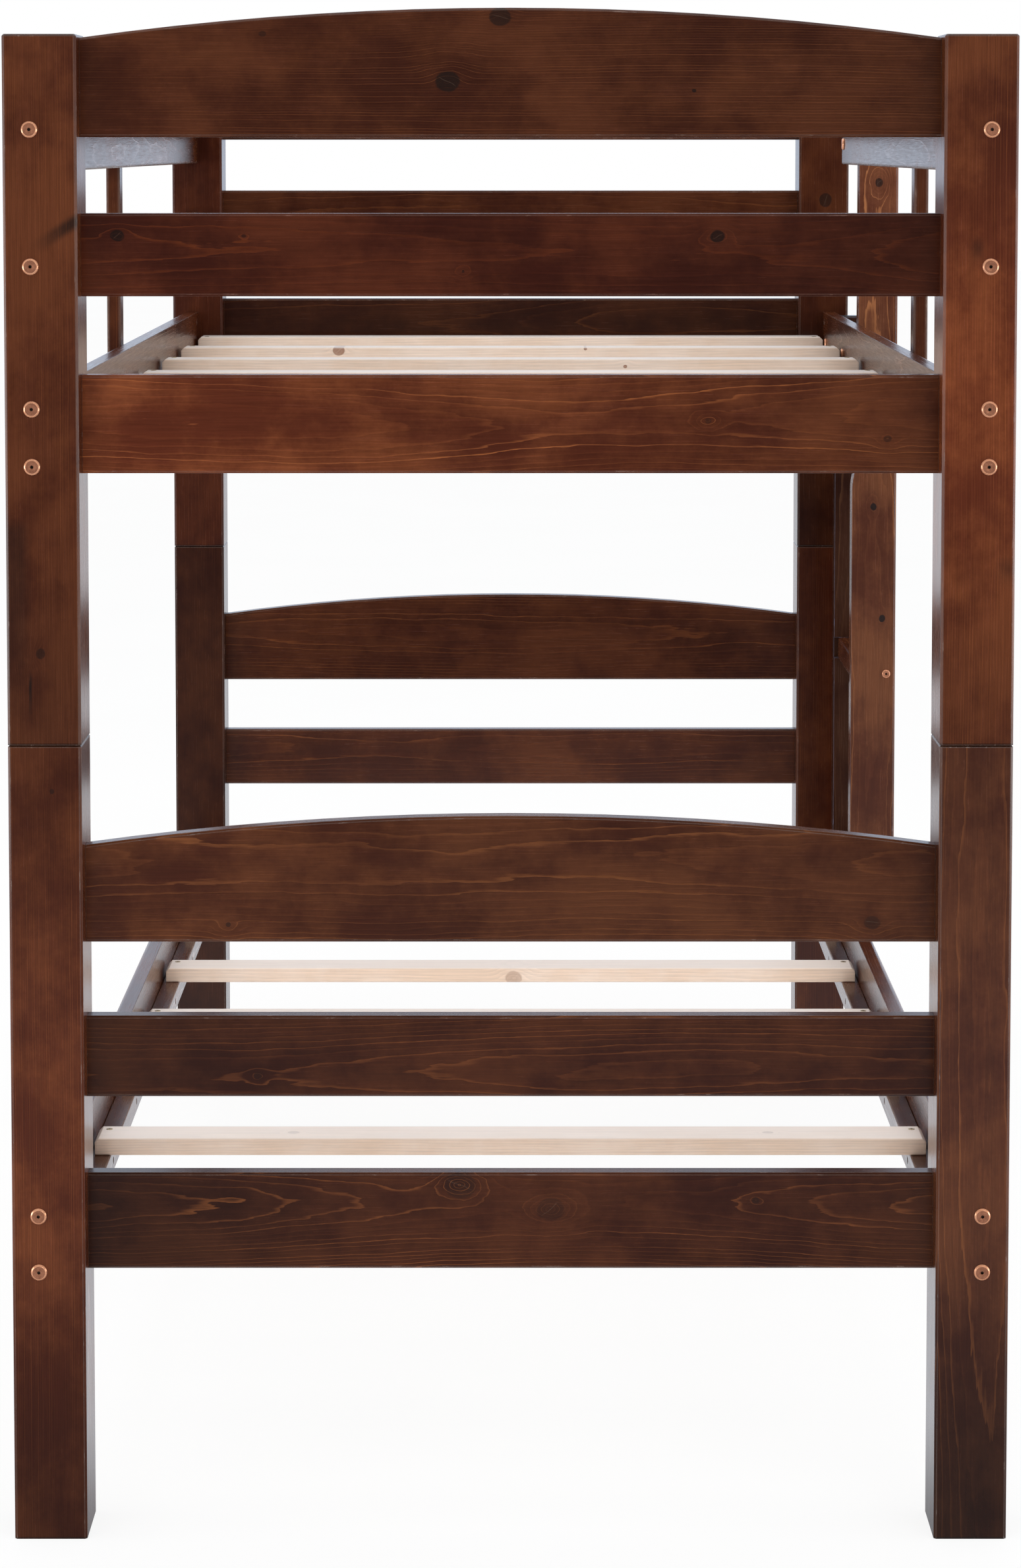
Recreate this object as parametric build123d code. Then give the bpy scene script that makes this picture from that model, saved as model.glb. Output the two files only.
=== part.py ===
import os

from build123d import *

# Twin-over-twin bunk bed in solid pine, with a fixed ladder at one corner.
# X runs across the bed, Y along it and Z up, in millimetres, with the floor at Z 0.
# Left is -X, right is +X, front is the -Y end and rear is the +Y end.
# The ladder stands on the right side, at the rear end.

# Sleeping space: one mattress on each bunk
mattress_width = 978
mattress_length = 1905
mattress_side_gap = 5
mattress_end_gap = 6.5

# Posts: each corner is a lower post with an upper post stacked on it
post_width = 78
post_depth = 86
lower_post_height = 862
upper_post_height = 752
post_edge_bevel = 2.5
post_end_bevel = 2
stack_pin_diameter = 16
stack_pin_length = 84
stack_pin_sunk = 42
stack_pin_play = 0.4
stack_pin_glue = 0.05
stack_pin_bevel = 1.2

# End panels: three rails between each pair of posts, tenoned into them
end_rail_thick = 22
end_rail_bevel = 2.2
bed_rail_bottom = 287
bed_rail_height = 105
mid_rail_bottom = 475.5
mid_rail_height = 88
arch_rail_bottom = 644
arch_rail_height = 105
arch_rail_rise = 31.5
tenon_length = 30
tenon_thick = 11
tenon_shoulder = 14

# Side rails, which carry the slats on cleats
rail_thick = 22
rail_setback = 17.5
side_rail_height = 91
side_rail_round = 6
rail_edge_bevel = 1.6
lower_rail_middle = 323
upper_rail_middle = 327
cleat_width = 24
cleat_height = 27
cleat_above_rail_bottom = 7
cleat_end_gap = 34
cleat_edge_bevel = 1.2
cleat_screw_count = 7
cleat_screw_front_gap = 31
cleat_screw_rear_gap = 151
cleat_screw_bore = 9
cleat_screw_bore_depth = 7

# Slats
slat_count = 7
slat_post_gap = 6.5
slat_width = 57
slat_thick = 20
slat_end_gap = 5
slat_end_bevel = 4.5
slat_edge_bevel = 1.2

# Guard rails round the upper bunk
guard_top_middle = 652
guard_top_height = 90
guard_low_middle = 508
guard_low_height = 44
guard_edge_round = 3
guard_upright_width = 36
guard_upright_thick = 18
guard_upright_end_gap = 9

# Ladder: two stiles with housed rungs, the front stile also carrying the guard rails
ladder_rear_gap = 47
ladder_stile_thick = 32
ladder_clear_width = 263
ladder_stile_width = 58
ladder_stile_lip = 8
ladder_shoulder_below_rail = 118.5
ladder_shoulder_run = 40
ladder_foot_below_rail = 63.5
ladder_foot_play = 1
ladder_rear_top_gap = 3
ladder_edge_bevel = 2.5
ladder_corner_round = 12
guard_past_ladder = 12
rung_count = 3
rung_first_top = 413
rung_last_below_rail = 104.5
rung_thick = 32
rung_inset = 7
rung_outer_gap = 4
rung_housing = 8
rung_edge_round = 4

# Bolts and barrel nuts, with only a few flats round each because there are so many
head_flats = 16
round_flats = 8
bolt_head_diameter = 17.5
bolt_head_thick = 3
bolt_head_taper = 20
bolt_socket_across = 5
bolt_socket_depth = 2.2
bolt_diameter = 6
bolt_hole_play = 0.5
side_rail_bolt_gap = 61
nut_diameter = 10
nut_length = 17
nut_play = 0.1
nut_inset = 26
nut_thread_play = 0.05
rung_bolt_head_diameter = 12.5
rung_bolt_outer_gap = 13.5
ladder_nut_inset = 30
ladder_bolt_below_guard = 15
ladder_bolt_cleat_gap = 0.75

# Places across the bed, from its middle plane
rail_inner_x = mattress_width / 2 + mattress_side_gap
rail_middle_x = rail_inner_x + rail_thick / 2
rail_outer_x = rail_inner_x + rail_thick
post_outer_x = rail_outer_x + rail_setback
post_inner_x = post_outer_x - post_width
post_middle_x = post_outer_x - post_width / 2
ladder_inner_x = rail_outer_x - ladder_stile_lip
ladder_outer_x = rail_outer_x + ladder_stile_width

# Places along the bed, from its middle
rail_length = mattress_length + 2 * mattress_end_gap
post_inner_y = rail_length / 2
post_middle_y = post_inner_y + post_depth / 2
post_outer_y = post_inner_y + post_depth
rear_stile_y = post_inner_y - ladder_rear_gap - ladder_stile_thick / 2
front_stile_y = rear_stile_y - ladder_clear_width - ladder_stile_thick
guard_end_y = front_stile_y + ladder_stile_thick / 2 + guard_past_ladder
slat_pitch = (rail_length - 2 * slat_post_gap - slat_width) / (slat_count - 1)

# Places up the bed, from the floor
bunk_base = {"lower": 0, "upper": lower_post_height}
rail_middle_z = {"lower": lower_rail_middle, "upper": lower_post_height + upper_rail_middle}
post_height = {"lower": lower_post_height, "upper": upper_post_height}
guard_top_z = lower_post_height + guard_top_middle
guard_low_z = lower_post_height + guard_low_middle
bed_top_z = guard_top_z + guard_top_height / 2
side_bolt_heights = (-side_rail_bolt_gap / 2, side_rail_bolt_gap / 2)
upper_rail_bottom_z = rail_middle_z["upper"] - side_rail_height / 2
lower_rail_top_z = rail_middle_z["lower"] + side_rail_height / 2
cleat_top_z = {
    bunk: middle_z - side_rail_height / 2 + cleat_above_rail_bottom + cleat_height
    for bunk, middle_z in rail_middle_z.items()
}
rung_last_top = upper_rail_bottom_z - rung_last_below_rail
rung_pitch = (rung_last_top - rung_first_top) / (rung_count - 1)
ladder_bolt_x = ladder_outer_x - rung_bolt_outer_gap

# Each bolt ends inside the cross hole of its nut
bolt_past_nut_middle = nut_diameter / 2 - bolt_diameter / 4

# The origin is under the middle of the whole bed, ladder included
origin_shift_x = -(ladder_outer_x - post_outer_x) / 2

sides = {"left": -1, "right": 1}
ends = {"front": -1, "rear": 1}
parts = {}


def add(name, shape):
    """Keep one finished piece, moved from the bed's middle plane to the part's origin."""
    parts[name] = Pos(origin_shift_x, 0, 0) * shape


def rod(diameter, length, flats=round_flats, taper=0):
    """A bar or drill along +Z from the origin, with flats in place of a true round."""
    return extrude(RegularPolygon(diameter / 2, flats), length, taper=taper)


def along_y(x, y, z, way=1):
    """Turns +Z to point along Y, forwards or backwards, at a place."""
    return Pos(x, y, z) * Rot(-90 * way, 0, 0)


def along_x(x, y, z):
    """Turns +Z to point along X at a place."""
    return Pos(x, y, z) * Rot(0, 90, 0)


def board(width, depth, height, axis, bevel):
    """A board centred on the origin, with its four long edges bevelled."""
    solid = Box(width, depth, height)
    return chamfer(solid.edges().filter_by(axis), bevel)


def tenon_block(height):
    """A tenon, or the mortise that takes it, from the inner face of a right-hand post."""
    return Box(
        tenon_length,
        tenon_thick,
        height - 2 * tenon_shoulder,
        align=(Align.MIN, Align.CENTER, Align.CENTER),
    )


end_rails = {
    "bed_rail": (bed_rail_bottom, bed_rail_height, 0),
    "mid_rail": (mid_rail_bottom, mid_rail_height, 0),
    "arch_rail": (arch_rail_bottom, arch_rail_height, arch_rail_rise),
}


def end_rail(height, rise):
    """One rail of an end panel, from its lower edge, with a tenon at each end."""
    left = -post_inner_x
    right = post_inner_x
    top = Line((right, height), (left, height))
    if rise:
        top = ThreePointArc((right, height), (0, height + rise), (left, height))
    outline = Polyline((left, height), (left, 0), (right, 0), (right, height))
    rail = extrude(Plane.XZ * make_face([outline, top]), end_rail_thick / 2, both=True)
    long_edges = [edge for edge in rail.edges() if edge.length > post_inner_x]
    rail = chamfer(long_edges, end_rail_bevel)
    for way in sides.values():
        rail += Pos(way * post_inner_x, 0, height / 2) * Rot(0, 0, 90 - 90 * way) * tenon_block(height)
    return rail


def post(bunk, bolt_heights):
    """One right-hand post, standing on Z 0 at its own place across the bed."""
    height = post_height[bunk]
    solid = Pos(0, 0, height / 2) * board(post_width, post_depth, height, Axis.Z, post_edge_bevel)
    for face in (solid.faces().sort_by(Axis.Z)[0], solid.faces().sort_by(Axis.Z)[-1]):
        solid = chamfer(face.edges(), post_end_bevel)
    solid = Pos(post_middle_x, 0, 0) * solid
    for bottom, rail_height, _ in end_rails.values():
        solid -= Pos(post_inner_x, 0, bottom + rail_height / 2) * tenon_block(rail_height)
    for z in bolt_heights:
        drill = rod(bolt_diameter + 2 * bolt_hole_play, post_depth)
        solid -= along_y(rail_middle_x, -post_depth / 2, z) * drill
    if bunk == "lower":
        pin_bore = rod(stack_pin_diameter + 2 * stack_pin_glue, stack_pin_sunk)
        return solid - Pos(post_middle_x, 0, height - stack_pin_sunk) * pin_bore
    bore_depth = stack_pin_length - stack_pin_sunk + stack_pin_play
    pin_bore = rod(stack_pin_diameter + 2 * stack_pin_play, bore_depth)
    return solid - Pos(post_middle_x, 0, 0) * pin_bore


def rail_end_bores(length, bolt_heights, ways):
    """The bolt and barrel nut bores in the ends of a right-hand rail centred on the origin."""
    bores = []
    bolt_bore = rod(bolt_diameter + 2 * bolt_hole_play, nut_inset)
    nut_bore = rod(nut_diameter + 2 * nut_play, rail_thick / 2 + nut_length / 2)
    for way in ways:
        for z in bolt_heights:
            bores.append(along_y(0, way * length / 2, z, -way) * bolt_bore)
            bores.append(along_x(-rail_thick / 2, way * (length / 2 - nut_inset), z) * nut_bore)
    return bores


def rail(length, height, outer_round, bores):
    """A right-hand rail along Y, centred on the origin, with a rounded top outer edge."""
    solid = Box(rail_thick, length, height)
    edges = solid.edges().filter_by(Axis.Y).sort_by(lambda edge: edge.center().X + edge.center().Z)
    solid = fillet(edges[-1:], outer_round)
    plain = [edge for edge in solid.edges().filter_by(Axis.Y) if edge.center().Z < 0]
    solid = chamfer(plain, rail_edge_bevel)
    for bore in bores:
        solid -= bore
    return solid


def through_bore(y, z):
    """A bolt hole across a right-hand rail centred on the origin."""
    return along_x(-rail_thick / 2, y, z) * rod(bolt_diameter + 2 * bolt_hole_play, rail_thick)


def cleat():
    """The right-hand ledge under the slats, centred on the origin, with its screw holes."""
    length = rail_length - 2 * cleat_end_gap
    solid = board(cleat_width, length, cleat_height, Axis.Y, cleat_edge_bevel)
    pitch = (length - cleat_screw_front_gap - cleat_screw_rear_gap) / (cleat_screw_count - 1)
    for index in range(cleat_screw_count):
        y = cleat_screw_front_gap - length / 2 + index * pitch
        solid -= along_x(-cleat_width / 2, y, 0) * rod(cleat_screw_bore, cleat_screw_bore_depth)
    return solid


def slat():
    """One slat across the bed, lying on Z 0, with its upper end edges bevelled."""
    end = rail_inner_x - slat_end_gap
    flat_end = end - slat_end_bevel
    side_height = slat_thick - slat_end_bevel
    outline = Polyline(
        (-end, 0),
        (end, 0),
        (end, side_height),
        (flat_end, slat_thick),
        (-flat_end, slat_thick),
        (-end, side_height),
        close=True,
    )
    solid = extrude(Plane.XZ * make_face(outline), slat_width / 2, both=True)
    return chamfer(solid.edges().filter_by(Axis.X), slat_edge_bevel)


def connector_bolt(length, head_diameter):
    """A flat-headed bolt with a hexagon socket, its shank along +Z from under the head."""
    head = Rot(180, 0, 0) * rod(head_diameter, bolt_head_thick, head_flats, bolt_head_taper)
    socket = extrude(RegularPolygon(bolt_socket_across / 2, 6, major_radius=False), bolt_socket_depth)
    head -= Pos(0, 0, -bolt_head_thick) * socket
    return head + rod(bolt_diameter, length)


def barrel_nut():
    """A barrel nut along Z, centred on the origin, with its threaded cross hole along Y."""
    body = Pos(0, 0, -nut_length / 2) * rod(nut_diameter, nut_length)
    cross_hole = rod(bolt_diameter + 2 * nut_thread_play, nut_diameter)
    return body - along_y(0, -nut_diameter / 2, 0) * cross_hole


def group(shapes):
    """Several separate solids kept as one piece of hardware."""
    return Compound([solid for shape in shapes for solid in shape.solids()])


def mirrored(shape, way):
    """A right-hand shape as it is, or turned over for the left side."""
    return shape if way > 0 else mirror(shape, Plane.YZ)


rung_tops = [rung_first_top + index * rung_pitch for index in range(rung_count)]
guard_bolt_z = {"top": guard_top_z - ladder_bolt_below_guard, "low": guard_low_z}
rail_bolt_z = cleat_top_z["upper"] + bolt_head_diameter / 2 + ladder_bolt_cleat_gap
ladder_bolt_places = [
    (front_stile_y, guard_bolt_z["top"]),
    (front_stile_y, guard_bolt_z["low"]),
    (front_stile_y, rail_bolt_z),
    (rear_stile_y, rail_bolt_z),
]


def stile(top, bolt_heights, facing):
    """One ladder stile at its place across the bed; facing is the way along Y to the other stile."""
    shoulder_top = upper_rail_bottom_z - ladder_shoulder_below_rail
    shoulder = shoulder_top - ladder_shoulder_run
    hook_x = rail_outer_x + ladder_foot_play
    hook_z = lower_rail_top_z + ladder_foot_play
    foot_z = lower_rail_top_z - ladder_foot_below_rail
    inner = Polyline(
        (ladder_outer_x, top),
        (ladder_outer_x, foot_z),
        (hook_x, foot_z),
        (hook_x, hook_z),
        (ladder_inner_x, hook_z),
        (ladder_inner_x, shoulder),
    )
    sweep_in = TangentArc((ladder_inner_x, shoulder), (rail_outer_x, shoulder_top), tangent=(0, 1))
    rest = Polyline((rail_outer_x, shoulder_top), (rail_outer_x, top), (ladder_outer_x, top))
    face = make_face([inner, sweep_in, rest])
    corners = [v for v in face.vertices() if v.X > rail_outer_x + ladder_stile_width / 2]
    face = fillet(corners, ladder_corner_round)
    solid = extrude(Plane.XZ * face, ladder_stile_thick / 2, both=True)
    outer = solid.faces().filter_by(Axis.X).sort_by(Axis.X)[-1]
    solid = chamfer(outer.edges().filter_by(Axis.Z), ladder_edge_bevel)
    inner_face = facing * ladder_stile_thick / 2
    for rung_top in rung_tops:
        housing = Box(
            ladder_outer_x - rung_outer_gap - ladder_inner_x,
            2 * rung_housing,
            rung_thick,
            align=(Align.MIN, Align.CENTER, Align.MAX),
        )
        solid -= Pos(ladder_inner_x, inner_face, rung_top) * housing
        drill = rod(bolt_diameter + 2 * bolt_hole_play, ladder_stile_thick)
        solid -= along_y(ladder_bolt_x, -ladder_stile_thick / 2, rung_top - rung_thick / 2) * drill
    bolt_bore = rod(bolt_diameter + 2 * bolt_hole_play, ladder_nut_inset)
    nut_bore = rod(nut_diameter + 2 * nut_play, ladder_stile_thick / 2 + nut_length / 2)
    for z in bolt_heights:
        solid -= along_x(rail_outer_x, 0, z) * bolt_bore
        solid -= along_y(rail_outer_x + ladder_nut_inset, inner_face, z, -facing) * nut_bore
    return solid


def rung():
    """One rung along Y, its top at Z 0, at its place across the bed."""
    length = ladder_clear_width + 2 * rung_housing
    width = ladder_outer_x - rung_outer_gap - ladder_inner_x - rung_inset
    solid = Box(width, length, rung_thick, align=(Align.MAX, Align.CENTER, Align.MAX))
    upper_edges = solid.edges().filter_by(Axis.Y).group_by(Axis.Z)[-1]
    solid = fillet(upper_edges, rung_edge_round)
    solid = Pos(ladder_outer_x - rung_outer_gap, 0, 0) * solid
    bolt_bore = rod(bolt_diameter + 2 * bolt_hole_play, nut_inset)
    nut_bore = rod(nut_diameter + 2 * nut_play, rung_thick / 2 + nut_length / 2)
    for way in ends.values():
        solid -= along_y(ladder_bolt_x, way * length / 2, -rung_thick / 2, -way) * bolt_bore
        solid -= Pos(ladder_bolt_x, way * (length / 2 - nut_inset), -rung_thick) * nut_bore
    return solid


# Posts
guard_heights = (guard_top_middle, guard_low_middle)
side_heights = {
    "lower": [lower_rail_middle + z for z in side_bolt_heights],
    "upper": [upper_rail_middle + z for z in side_bolt_heights],
}
bolt_places = {"lower": [], "upper": []}
for bunk, base in bunk_base.items():
    for end, end_way in ends.items():
        for side, side_way in sides.items():
            guarded = bunk == "upper" and (end, side) != ("rear", "right")
            heights = side_heights[bunk] + (list(guard_heights) if guarded else [])
            solid = Pos(0, end_way * post_middle_y, base) * mirrored(post(bunk, heights), side_way)
            add(f"{bunk}_post_{end}_{side}", solid)
            bolt_places[bunk] += [(side_way, end_way, base + z) for z in heights]

# End panels
for bunk, base in bunk_base.items():
    for end, end_way in ends.items():
        for name, (bottom, height, rise) in end_rails.items():
            solid = end_rail(height, rise)
            add(f"{bunk}_{name}_{end}", Pos(0, end_way * post_middle_y, base + bottom) * solid)

# Side rails, cleats and slats
for bunk in bunk_base:
    middle_z = rail_middle_z[bunk]
    cleat_top = cleat_top_z[bunk]
    for side, side_way in sides.items():
        bores = rail_end_bores(rail_length, side_bolt_heights, ends.values())
        if (bunk, side) == ("upper", "right"):
            bores += [through_bore(y, z - middle_z) for y, z in ladder_bolt_places if z == rail_bolt_z]
        solid = rail(rail_length, side_rail_height, side_rail_round, bores)
        add(f"{bunk}_side_rail_{side}", mirrored(Pos(rail_middle_x, 0, middle_z) * solid, side_way))
        ledge = Pos(rail_inner_x - cleat_width / 2, 0, cleat_top - cleat_height / 2) * cleat()
        add(f"{bunk}_cleat_{side}", mirrored(ledge, side_way))
    for index in range(slat_count):
        y = slat_pitch * (index - (slat_count - 1) / 2)
        add(f"{bunk}_slat_{index + 1}", Pos(0, y, cleat_top) * slat())

# Guard rails and their uprights
guards = {
    "top": (guard_top_z, guard_top_height),
    "low": (guard_low_z, guard_low_height),
}
guard_spans = {"left": (-post_inner_y, post_inner_y), "right": (-post_inner_y, guard_end_y)}
upright_bottom = upper_rail_bottom_z + guard_upright_end_gap
upright_top = bed_top_z - guard_upright_end_gap
for side, (start, stop) in guard_spans.items():
    length = stop - start
    middle_y = (start + stop) / 2
    for level, (z, height) in guards.items():
        ways = ends.values() if side == "left" else (ends["front"],)
        bores = rail_end_bores(length, (0,), ways)
        if side == "right":
            bores.append(through_bore(front_stile_y - middle_y, guard_bolt_z[level] - z))
        solid = rail(length, height, guard_edge_round, bores)
        add(f"guard_{level}_rail_{side}", mirrored(Pos(rail_middle_x, middle_y, z) * solid, sides[side]))
    height = upright_top - upright_bottom
    upright = board(guard_upright_thick, guard_upright_width, height, Axis.Z, rail_edge_bevel)
    place = Pos(rail_outer_x + guard_upright_thick / 2, middle_y, upright_bottom + height / 2)
    add(f"guard_upright_{side}", mirrored(place * upright, sides[side]))

# Ladder
rail_top = rail_middle_z["upper"] + side_rail_height / 2
front_bolts = [z for y, z in ladder_bolt_places if y == front_stile_y]
add("ladder_stile_front", Pos(0, front_stile_y, 0) * stile(bed_top_z, front_bolts, 1))
add("ladder_stile_rear", Pos(0, rear_stile_y, 0) * stile(rail_top - ladder_rear_top_gap, [rail_bolt_z], -1))
ladder_middle_y = (front_stile_y + rear_stile_y) / 2
for index, rung_top in enumerate(rung_tops):
    add(f"ladder_rung_{index + 1}", Pos(0, ladder_middle_y, rung_top) * rung())

# Bolts, barrel nuts and stacking pins
post_bolt = connector_bolt(post_depth + nut_inset + bolt_past_nut_middle, bolt_head_diameter)
nuts = {"lower": [], "upper": []}
for bunk, places in bolt_places.items():
    bolts = []
    for side_way, end_way, z in places:
        bolts.append(along_y(side_way * rail_middle_x, end_way * post_outer_y, z, -end_way) * post_bolt)
        nut_y = end_way * (post_inner_y - nut_inset)
        nuts[bunk].append(along_x(side_way * rail_middle_x, nut_y, z) * barrel_nut())
    add(f"{bunk}_connector_bolts", group(bolts))

ladder_bolt = connector_bolt(rail_thick + ladder_nut_inset + bolt_past_nut_middle, bolt_head_diameter)
add("ladder_bolts", group([along_x(rail_inner_x, y, z) * ladder_bolt for y, z in ladder_bolt_places]))
for y, z in ladder_bolt_places:
    turn = Rot(90, 0, 0) * Rot(0, 0, 90)
    nuts["upper"].append(Pos(rail_outer_x + ladder_nut_inset, y, z) * turn * barrel_nut())

stile_outside = ladder_clear_width / 2 + ladder_stile_thick
rung_bolt_length = ladder_stile_thick - rung_housing + nut_inset + bolt_past_nut_middle
rung_bolt = connector_bolt(rung_bolt_length, rung_bolt_head_diameter)
rung_bolts = []
for rung_top in rung_tops:
    z = rung_top - rung_thick / 2
    for way in ends.values():
        head_y = ladder_middle_y + way * stile_outside
        rung_bolts.append(along_y(ladder_bolt_x, head_y, z, -way) * rung_bolt)
        nut_y = ladder_middle_y + way * (ladder_clear_width / 2 + rung_housing - nut_inset)
        nuts["upper"].append(Pos(ladder_bolt_x, nut_y, z) * barrel_nut())
add("rung_bolts", group(rung_bolts))

for bunk, solids in nuts.items():
    add(f"{bunk}_barrel_nuts", group(solids))

stack_pin = rod(stack_pin_diameter, stack_pin_length)
for face in (stack_pin.faces().sort_by(Axis.Z)[0], stack_pin.faces().sort_by(Axis.Z)[-1]):
    stack_pin = chamfer(face.edges(), stack_pin_bevel)
add("stack_pins", group([
    Pos(side_way * post_middle_x, end_way * post_middle_y, lower_post_height - stack_pin_sunk) * stack_pin
    for side_way in sides.values()
    for end_way in ends.values()
]))

os.makedirs("parts", exist_ok=True)
for name, shape in parts.items():
    export_step(shape, f"parts/{name}.step")
print(len(parts), "nodes")
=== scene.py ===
import math
import random

import bmesh
import bpy
from mathutils import Matrix, Vector


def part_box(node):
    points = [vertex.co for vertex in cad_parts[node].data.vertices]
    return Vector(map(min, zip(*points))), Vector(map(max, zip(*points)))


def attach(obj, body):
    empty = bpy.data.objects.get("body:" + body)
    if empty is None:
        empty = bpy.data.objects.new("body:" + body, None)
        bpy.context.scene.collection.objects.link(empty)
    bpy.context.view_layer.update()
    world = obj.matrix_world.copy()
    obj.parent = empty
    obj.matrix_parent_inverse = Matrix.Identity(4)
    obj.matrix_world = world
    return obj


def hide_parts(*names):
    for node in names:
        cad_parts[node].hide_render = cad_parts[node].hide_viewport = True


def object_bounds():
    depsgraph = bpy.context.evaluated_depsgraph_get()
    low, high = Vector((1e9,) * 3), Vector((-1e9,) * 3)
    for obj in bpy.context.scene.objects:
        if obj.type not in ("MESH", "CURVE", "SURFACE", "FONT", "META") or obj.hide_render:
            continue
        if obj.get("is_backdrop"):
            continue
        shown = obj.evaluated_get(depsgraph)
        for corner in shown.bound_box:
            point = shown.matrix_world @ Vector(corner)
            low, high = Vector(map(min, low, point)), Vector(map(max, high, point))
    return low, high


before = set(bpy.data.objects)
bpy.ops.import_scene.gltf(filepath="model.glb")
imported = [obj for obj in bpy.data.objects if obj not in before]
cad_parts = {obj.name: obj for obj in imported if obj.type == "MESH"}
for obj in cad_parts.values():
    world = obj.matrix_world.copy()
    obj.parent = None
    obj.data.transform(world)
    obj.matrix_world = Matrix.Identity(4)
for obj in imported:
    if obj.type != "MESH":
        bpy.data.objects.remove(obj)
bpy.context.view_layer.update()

# Twin-over-twin bunk bed: dark stained pine with bare pine slats and copper bolts.
# Everything is in metres in the row frame, with the floor at Z 0 and the front end at -Y.

scene = bpy.context.scene
scene.view_settings.view_transform = "Standard"


# Camera: in front of the -Y end and 1.5 m up, looking slightly down. Sensor and lens in millimetres
SENSOR_WIDTH = 36
FOCAL_LENGTH = 86.99
LENS_SHIFT = -0.24
CAMERA_RANGE = 200
CAMERA_PLACE = (-0.02025, -5.032, 1.498)
CAMERA_TILT_DEGREES = 3.969
lens = bpy.data.cameras.new("camera")
lens.sensor_fit = "AUTO"
lens.sensor_width = SENSOR_WIDTH
lens.lens = FOCAL_LENGTH
lens.shift_y = LENS_SHIFT
lens.clip_end = CAMERA_RANGE
camera = bpy.data.objects.new("camera", lens)
camera.location = CAMERA_PLACE
camera.rotation_euler = (math.radians(90 - CAMERA_TILT_DEGREES), 0, 0)
scene.collection.objects.link(camera)
scene.camera = camera


# Short calls for node trees
def put(tree, socket, value):
    if isinstance(value, bpy.types.NodeSocket):
        tree.links.new(value, socket)
    else:
        socket.default_value = value


def node(tree, kind, inputs=None, **settings):
    made = tree.nodes.new("ShaderNode" + kind)
    for key, value in settings.items():
        setattr(made, key, value)
    for key, value in (inputs or {}).items():
        put(tree, made.inputs[key], value)
    return made


def calc(tree, operation, a, b=0.0, c=0.0):
    return node(tree, "Math", {0: a, 1: b, 2: c}, operation=operation).outputs[0]


def vector(tree, operation, a, b=(0, 0, 0), scale=1.0):
    made = node(tree, "VectorMath", {0: a, 1: b, 3: scale}, operation=operation)
    return made.outputs["Value"] if operation in ("LENGTH", "DOT_PRODUCT") else made.outputs[0]


def step(tree, value, start, end, low=0.0, high=1.0):
    """A smooth change from low to high as value goes from start to end."""
    inputs = {"Value": value, "From Min": start, "From Max": end, "To Min": low, "To Max": high}
    return node(tree, "MapRange", inputs, interpolation_type="SMOOTHSTEP").outputs["Result"]


def noise(tree, place, scale, detail=2.0, rough=0.5):
    """Noise about 0.5, stretched by a scale for each axis."""
    stretched = vector(tree, "MULTIPLY", place, scale)
    inputs = {"Vector": stretched, "Scale": 1.0, "Detail": detail, "Roughness": rough}
    return node(tree, "TexNoise", inputs)


def drift(tree, place, scale, detail):
    """A vector that wanders about zero."""
    colour = noise(tree, place, scale, detail).outputs["Color"]
    return vector(tree, "SUBTRACT", colour, (0.5, 0.5, 0.5))


def moved(tree, place, way, far):
    """A place moved along a vector that is scaled by how far."""
    return vector(tree, "ADD", place, vector(tree, "SCALE", way, scale=far))


def greatest(tree, marks):
    """The greatest of some values at each place, or None where there are none."""
    top = None
    for mark in marks:
        top = mark if top is None else calc(tree, "MAXIMUM", top, mark)
    return top


def mix(tree, factor, a, b, blend="MIX"):
    made = node(tree, "Mix", {0: factor, 6: a, 7: b}, data_type="RGBA", blend_type=blend)
    return made.outputs[2]


def new_material(name):
    material = bpy.data.materials.new(name)
    material.use_nodes = True
    return material, material.node_tree, material.node_tree.nodes["Principled BSDF"]


# Wood. In grain order the first axis is along the grain
GRAIN_ORDER = {"X": (0, 1, 2), "Y": (1, 0, 2), "Z": (2, 0, 1)}
ACROSS_GRAIN = (0, 1, 1)
SEED_SHARES = (1.0, 0.37, 0.71)

# How fine each noise is, in waves to a metre: along the grain, and the two ways across it
PITH_WANDER = (1.1, 2.0, 2.0)
RING_RIPPLE = (9.0, 30.0, 30.0)
KNOT_WARP = (45.0, 70.0, 70.0)
RING_JITTER = (9.0, 110.0, 110.0)
LINE_PATCH = (3.0, 12.0, 12.0)
FIBRE = (18.0, 560.0, 560.0)
CLOUD = (6.0, 9.0, 9.0)
BLOTCH = (26.0, 32.0, 32.0)
CHIP = (38.0, 150.0, 150.0)

# Growth rings: their ripple as a share of the pith's wander, their jitter in ring widths, where in
# a ring its line of late wood rises and falls, and how weak the weakest patches of lines are
RIPPLE_SHARE = 0.10
JITTER_SHARE = 0.9
LINE_RISE = (0.78, 0.955)
LINE_FALL = (1.0, 0.972)
LINE_CHANCE = (0.1, 1.0)
PATCH_RANGE = (0.32, 0.62)
FAINT_PATCH = 0.25

# Streaks: where they are clear and full across, in radii; where they start, in metres; what share
# of their length they take to come up; and where they begin to fade and are gone, past their length
STREAK_ACROSS = (1.8, 0.3)
STREAK_START = -0.012
STREAK_FULL_AT = 0.8
STREAK_GONE = 0.008
STREAK_FADE = -0.012

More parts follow.
